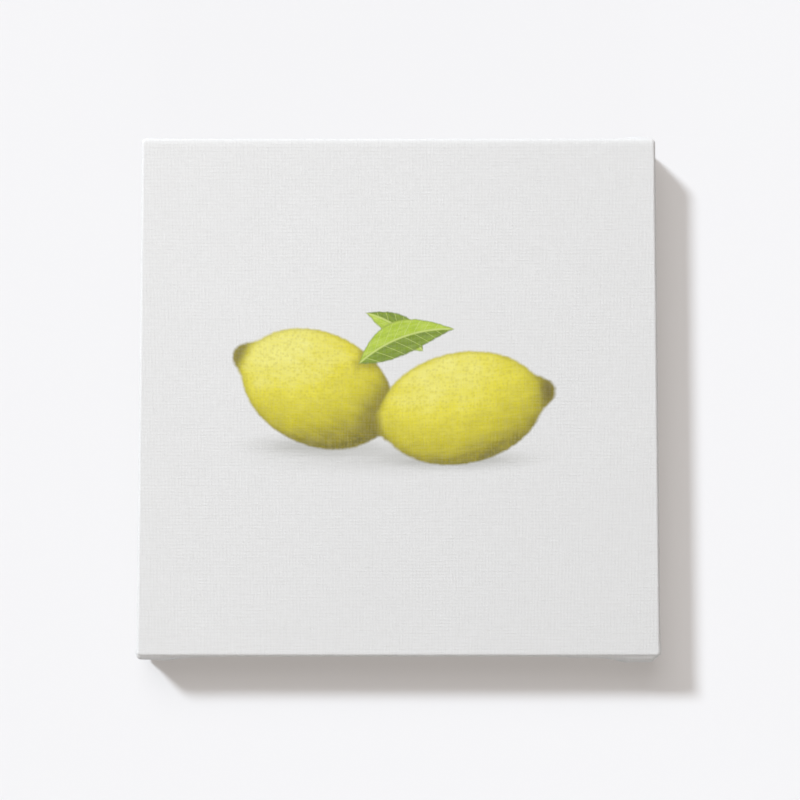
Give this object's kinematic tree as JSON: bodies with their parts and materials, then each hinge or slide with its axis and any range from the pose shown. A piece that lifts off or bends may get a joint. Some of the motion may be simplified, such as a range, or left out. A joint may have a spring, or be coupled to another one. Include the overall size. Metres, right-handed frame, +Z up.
{
  "type": "stretched canvas print",
  "caption": "Square stretched canvas print: primed cloth wrapped round a mitred wooden frame, pleated at the corners, stapled behind, with a sawtooth hanger and wall pads.",
  "frame": {"origin": "on the wall plane, where a wall nail meets the middle notch of the hanger", "axes": "+X to the viewer's right, +Y out of the back into the wall, +Z up"},
  "size_m": [0.2558, 0.0236, 0.2606],
  "materials": {
    "primed_canvas": "matt primed weave, white on the front and sides, raw behind",
    "softwood": "planed, unfinished",
    "galvanised_steel": "dull zinc",
    "brassed_steel": "thin brass plating on steel",
    "pad_rubber": "translucent, soft"
  },
  "bodies": {
    "root": {"canvas": "primed_canvas", "stretcher_bar_top": "softwood", "stretcher_bar_right": "softwood", "stretcher_bar_bottom": "softwood", "stretcher_bar_left": "softwood", "staple_top_1": "galvanised_steel", "staple_top_2": "galvanised_steel", "staple_top_3": "galvanised_steel", "staple_top_4": "galvanised_steel", "staple_top_5": "galvanised_steel", "staple_right_1": "galvanised_steel", "staple_right_2": "galvanised_steel", "staple_right_3": "galvanised_steel", "staple_right_4": "galvanised_steel", "staple_right_5": "galvanised_steel", "staple_bottom_1": "galvanised_steel", "staple_bottom_2": "galvanised_steel", "staple_bottom_3": "galvanised_steel", "staple_bottom_4": "galvanised_steel", "staple_bottom_5": "galvanised_steel", "staple_left_1": "galvanised_steel", "staple_left_2": "galvanised_steel", "staple_left_3": "galvanised_steel", "staple_left_4": "galvanised_steel", "staple_left_5": "galvanised_steel", "staple_fold_top_right": "galvanised_steel", "staple_fold_bottom_right": "galvanised_steel", "staple_fold_bottom_left": "galvanised_steel", "staple_fold_top_left": "galvanised_steel", "staple_mitre_top_right": "galvanised_steel", "staple_mitre_bottom_right": "galvanised_steel", "staple_mitre_bottom_left": "galvanised_steel", "staple_mitre_top_left": "galvanised_steel", "sawtooth_hanger": "brassed_steel", "hanger_nail_left": "brassed_steel", "hanger_nail_right": "brassed_steel", "wall_pad_left": "pad_rubber", "wall_pad_right": "pad_rubber"}
  },
  "joints": []
}
